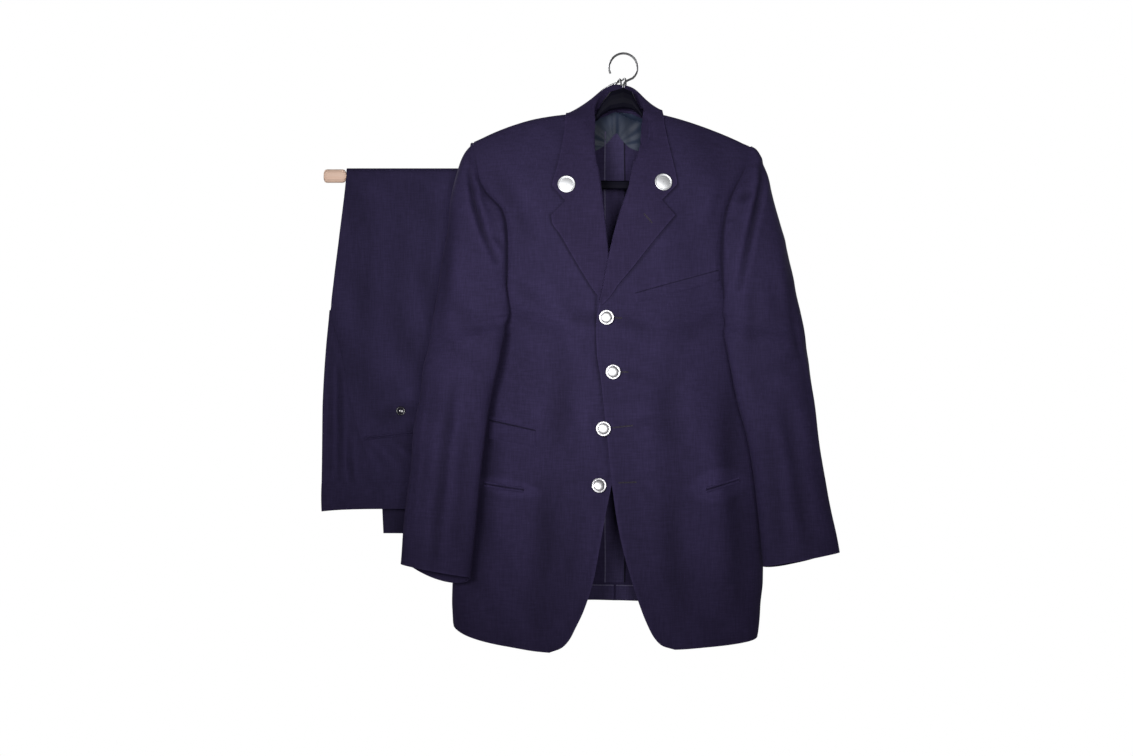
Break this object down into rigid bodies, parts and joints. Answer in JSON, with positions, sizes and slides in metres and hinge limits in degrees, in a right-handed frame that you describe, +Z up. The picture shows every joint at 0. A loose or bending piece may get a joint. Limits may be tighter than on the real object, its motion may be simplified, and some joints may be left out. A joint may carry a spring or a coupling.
{
  "type": "railway uniform on a hanger",
  "caption": "Buttoned wool railway jacket on a black hanger, its trousers folded over a wooden bar beside it; hangs from a rail by one hook.",
  "frame": {"origin": "where the top of the hanger's hook bears on its rail, on the hook's centre line", "axes": "+Z up; the wearer's front faces -Y; +X towards the wearer's left, so the trousers hang at -X"},
  "size_m": [0.793, 0.1792, 0.9144],
  "materials": {
    "navy_wool": "napped",
    "teal_lining": "satin",
    "black_plastic": "satin",
    "silver_metal": "polished",
    "steel_wire": "drawn wire",
    "pale_wood": "matt",
    "dark_button": "gloss"
  },
  "bodies": {
    "root": {"back_left": "navy_wool", "back_right": "navy_wool", "breast_pocket_welt": "navy_wool", "collar_disc_left": "silver_metal", "collar_disc_right": "silver_metal", "collar_fall": "navy_wool", "collar_stand": "navy_wool", "front_button_1": "silver_metal", "front_button_2": "silver_metal", "front_button_3": "silver_metal", "front_button_4": "silver_metal", "front_left": "navy_wool", "front_right": "navy_wool", "half_lining_left": "teal_lining", "half_lining_right": "teal_lining", "hanger_bar": "black_plastic", "hanger_body": "black_plastic", "hip_pocket_edging_left": "navy_wool", "hip_pocket_edging_right": "navy_wool", "hook": "steel_wire", "lapel_left": "navy_wool", "lapel_right": "navy_wool", "ticket_pocket_flap": "navy_wool", "top_sleeve_left": "navy_wool", "top_sleeve_right": "navy_wool", "trouser_button": "dark_button", "trouser_front_strip": "navy_wool", "trouser_hidden_layers": "navy_wool", "trouser_leg": "navy_wool", "trouser_pocket_edging": "navy_wool", "trouser_waistband": "navy_wool", "under_sleeve_left": "navy_wool", "under_sleeve_right": "navy_wool", "wire_arm_long": "steel_wire", "wire_arm_short": "steel_wire", "wooden_bar": "pale_wood"}
  },
  "joints": []
}
